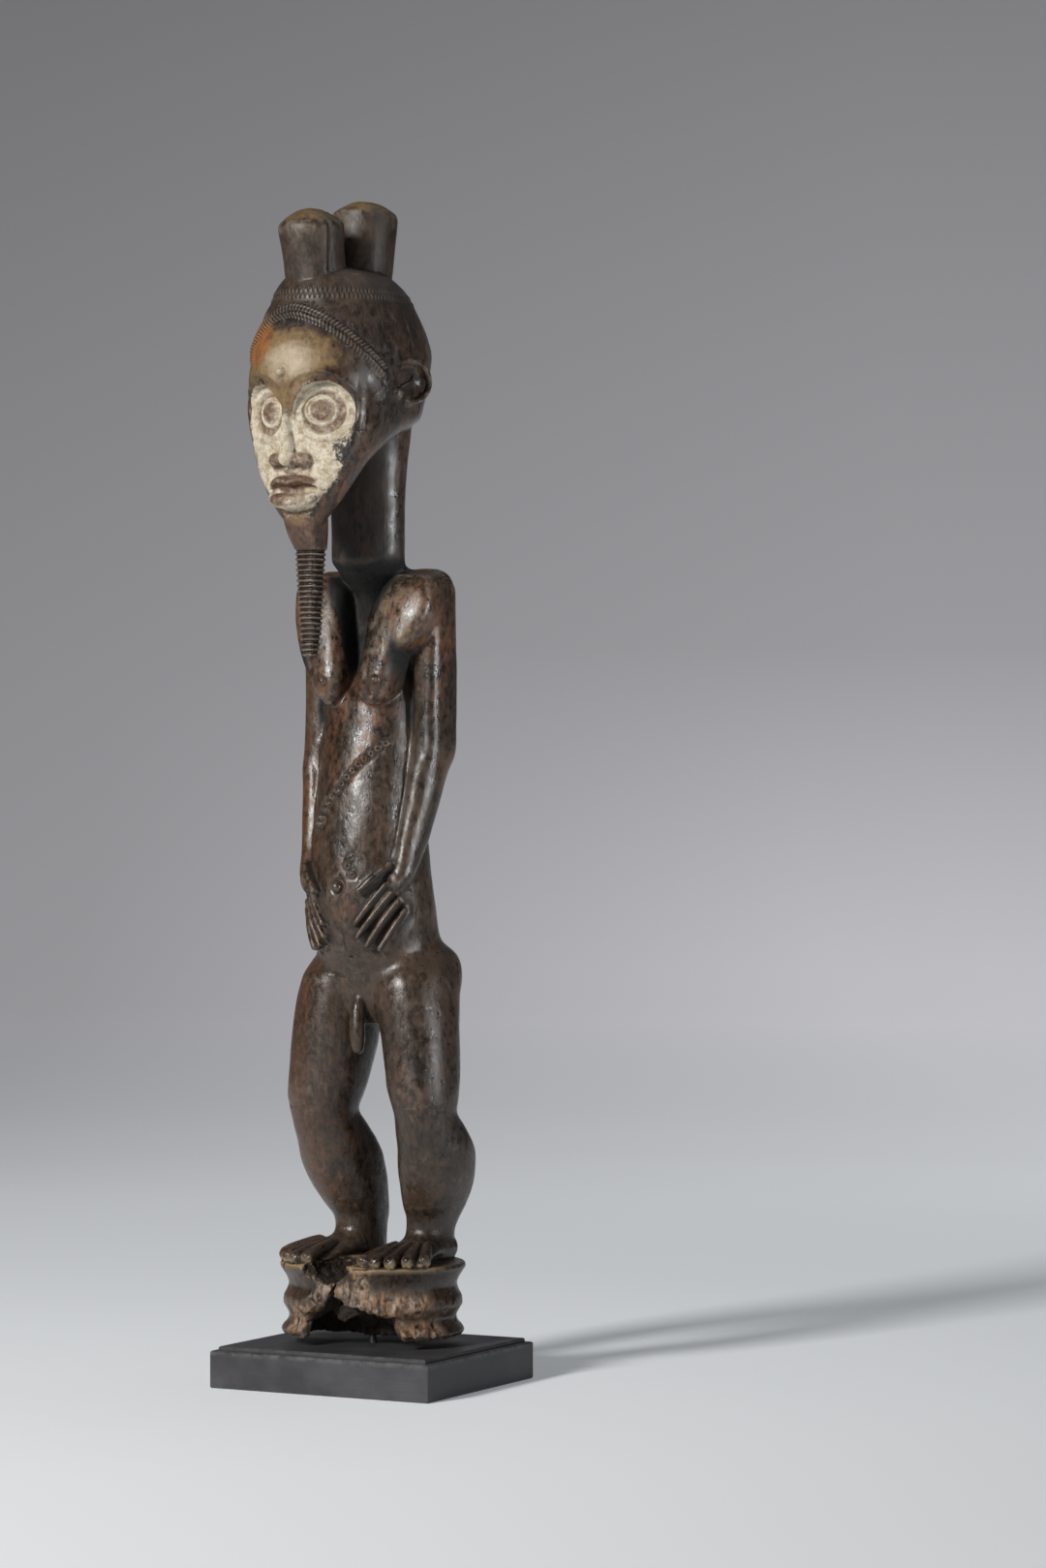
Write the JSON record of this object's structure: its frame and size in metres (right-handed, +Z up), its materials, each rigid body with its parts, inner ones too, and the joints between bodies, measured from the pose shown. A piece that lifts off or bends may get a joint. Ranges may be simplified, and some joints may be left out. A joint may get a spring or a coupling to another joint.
{
  "type": "wooden sculpture",
  "caption": "Standing bearded figure with hands on its belly, carved with a ringed base from one block of wood and held on a black wooden block by a thin metal pin",
  "frame": {"origin": "middle of the underside of the black block, on the surface that it stands on", "axes": "+Z up, the figure faces -Y turned 4 degrees about Z, +X is the figure's left side"},
  "size_m": [0.122, 0.1353, 0.5819],
  "materials": {
    "patinated_wood": "dark brown oiled patina, worn lighter on the high places, white clay round the eyes, raw wood in the breaks",
    "dark_steel": "darkened plain steel",
    "black_paint": "matte black paint on wood, greyer on worn edges"
  },
  "bodies": {
    "root": {"carved_figure": "patinated_wood", "mount_pin": "dark_steel", "display_block": "black_paint"}
  },
  "joints": []
}
